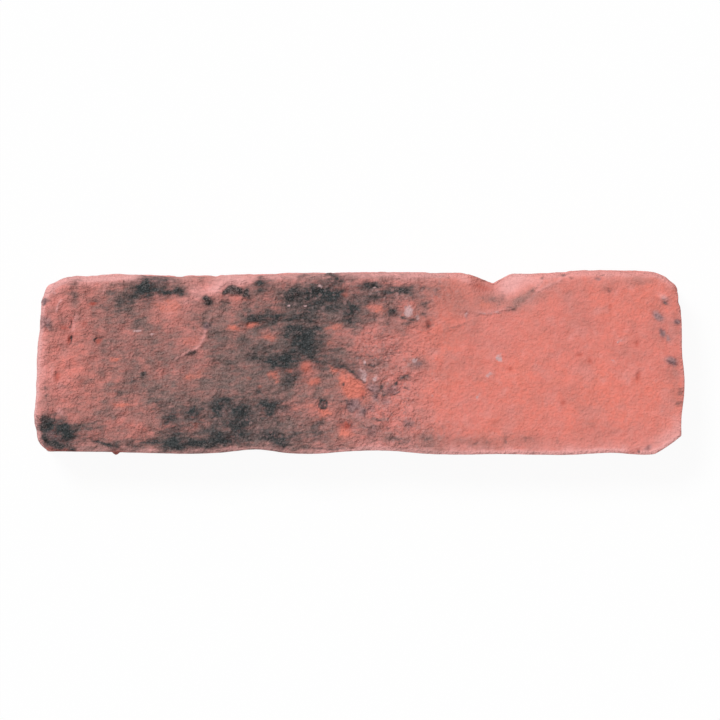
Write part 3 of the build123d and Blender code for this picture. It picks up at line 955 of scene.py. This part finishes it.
def fire_marks(n, noise, colour, sawn):
    """That colour under veils of dusk, with orange spots, rust, and soot with a little ash on it. Part of
    the rust and soot is painted shade and shadow, and part of the ash is painted highlight specks.
    """
    rough = n.math("POWER", n.amount("rough"), 2.0)
    uneven = n.math("MULTIPLY", n.uneven(noise.mottle, 0.6, noise.streak, 0.7), rough)
    dusk = n.between(n.math("ADD", n.amount("dusk"), uneven), 0.0, 1.1)
    colour = n.mix(n.math("MAXIMUM", dusk, sawn), colour, n.mix(n.between(noise.salt, 0.35, 0.65), *SMOKE))
    uneven = n.uneven(noise.mottle, 0.9, noise.fleck, 0.6)
    colour = n.mix(n.between(n.math("ADD", n.amount("ochre"), uneven), 0.30, 0.90), colour, ORANGE)
    colour = n.mix(n.amount("rust_and_shade"), colour, DARK_RED)
    uneven = n.uneven(noise.fleck, 0.5, noise.streak, 0.6)
    # soot, and the painted shadows that are drawn like soot
    soot_and_shade = n.between(n.math("ADD", n.amount("soot_and_shade"), uneven), 0.12, 0.90)
    colour = n.mix(soot_and_shade, colour, n.mix(n.between(noise.salt, 0.3, 0.7), *CHAR_AND_SHADE))
    # ash flecks on the soot, partly painted highlights
    ash_and_glint = n.math("MULTIPLY", soot_and_shade, n.between(noise.salt, 0.60, 0.72, 0, 0.36))
    return n.mix(ash_and_glint, colour, ASH_AND_GLINT)


def crusts_and_grit(n, noise, place, colour):
    """That colour with the crusts, stones, white bloom and grit that lie in or on the clay."""
    colour = n.mix(n.amount("crust"), colour, n.mix(n.between(noise.salt, 0.42, 0.66), *SCAB))
    colour = n.mix(n.amount("stone"), colour, n.mix(n.between(noise.fleck, 0.4, 0.6), *LILAC))
    bloom = n.between(n.math("ADD", n.amount("bloom"), n.spread(noise.fleck, 1.4)), 0.3, 0.85)
    colour = n.mix(bloom, colour, LIME)
    stony, grey, pink = pebbles(n, place)
    colour = n.mix(n.math("MULTIPLY", stony, grey), colour, GREY_PEBBLE)
    colour = n.mix(n.math("MULTIPLY", stony, pink), colour, PINK_PEBBLE)
    dark = n.between(noise.speck, 0.55, 0.72, 0, 0.6)
    pale = n.between(noise.speck, 0.45, 0.28, 0, 0.4)
    colour = n.mix(n.math("MULTIPLY", dark, n.amount("grit")), colour, DARK_GRAIN)
    return n.mix(n.math("MULTIPLY", pale, n.amount("grit")), colour, PALE_GRAIN)


def clay_material():
    """Fired clay: its colour, its grain and the saw marks on its back."""
    material = bpy.data.materials.new("fired_clay")
    n = Nodes(material)
    place = n.add("ShaderNodeTexCoord").outputs["Object"]
    noise = clay_noises(n, place)
    back, saw_marks = sawn_back(n, place)
    sawn = n.math("MULTIPLY", back, n.between(saw_marks, 0.1, 1.0, 0.02, 0.22))
    colour = fire_marks(n, noise, body_colour(n, noise), sawn)
    colour = crusts_and_grit(n, noise, place, colour)
    colour = n.mix(1.0, colour, n.between(noise.grain, 0.25, 0.75, 0.95, 1.05), "MULTIPLY")

    bump = n.add("ShaderNodeBump")
    bump.inputs["Distance"].default_value = BUMP_HEIGHT * MM
    marks = n.math("MULTIPLY", n.math("MULTIPLY", saw_marks, back), SAW_DEPTH / BUMP_HEIGHT)
    grain = n.math("MULTIPLY", noise.grain, n.amount("rough"))
    n.feed(bump.inputs["Height"], n.math("ADD", grain, marks))
    surface = n.add("ShaderNodeBsdfPrincipled")
    n.feed(surface.inputs["Base Color"], colour)
    n.feed(surface.inputs["Roughness"], n.between(noise.grain, 0.2, 0.8, 0.82, 0.97))
    surface.inputs["Specular IOR Level"].default_value = 0.25
    n.feed(surface.inputs["Normal"], bump.outputs["Normal"])
    n.feed(n.add("ShaderNodeOutputMaterial").inputs["Surface"], surface.outputs["BSDF"])
    return material


def floor_material():
    """White to the camera, with a share of plain matt floor that takes the slip's shadow."""
    material = bpy.data.materials.new("floor_white")
    n = Nodes(material)
    matt = n.add("ShaderNodeBsdfDiffuse")
    matt.inputs["Color"].default_value = FLOOR_WHITE
    glow = n.add("ShaderNodeEmission")
    path = n.add("ShaderNodeLightPath")
    seen = n.math("MAXIMUM", path.outputs["Is Camera Ray"], path.outputs["Is Glossy Ray"])
    seen = n.math("MAXIMUM", seen, path.outputs["Is Transmission Ray"])
    both = n.add("ShaderNodeMixShader")
    n.feed(both.inputs[0], n.math("MULTIPLY", seen, FLOOR_GLOW))
    n.feed(both.inputs[1], matt.outputs[0])
    n.feed(both.inputs[2], glow.outputs[0])
    n.feed(n.add("ShaderNodeOutputMaterial").inputs["Surface"], both.outputs[0])
    return material


def add_floor():
    bpy.ops.mesh.primitive_plane_add(size=FLOOR_SIZE)
    floor = bpy.context.object
    floor.name = "floor"
    floor.location.z = -FLOOR_GAP * MM
    floor.data.materials.append(floor_material())


def add_light():
    """A soft key from the upper left, and even light from all round."""
    world = bpy.data.worlds.new("studio")
    world.use_nodes = True
    background = world.node_tree.nodes["Background"]
    background.inputs["Color"].default_value = (1, 1, 1, 1)
    background.inputs["Strength"].default_value = FILL
    bpy.context.scene.world = world
    lamp = bpy.data.lights.new("key", "SUN")
    lamp.angle = radians(KEY_SOFTNESS)
    lamp.energy = KEY * np.pi / sin(radians(KEY_ELEVATION))
    key = bpy.data.objects.new("key", lamp)
    key.rotation_euler = (radians(90 - KEY_ELEVATION), 0, radians(KEY_AZIMUTH + 90))
    bpy.context.scene.collection.objects.link(key)


def add_camera():
    """A long lens straight above, so that the picture's width spans its 720 pixels at the face."""
    camera = bpy.data.cameras.new("camera")
    camera.lens = LENS
    camera.sensor_width = SENSOR
    view = bpy.data.objects.new("camera", camera)
    view.location = (LOOK_AT[0] * MM, LOOK_AT[1] * MM, CAMERA_HEIGHT * MM)
    bpy.context.scene.collection.objects.link(view)
    bpy.context.scene.camera = view


skin = skin_mesh()
skin.name = "clay_skin"
shape_and_paint(skin)
skin.data.materials.clear()
skin.data.materials.append(clay_material())
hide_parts(NODE)
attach(skin, "root")
add_floor()
add_light()
add_camera()
bpy.context.scene.view_settings.view_transform = "Standard"
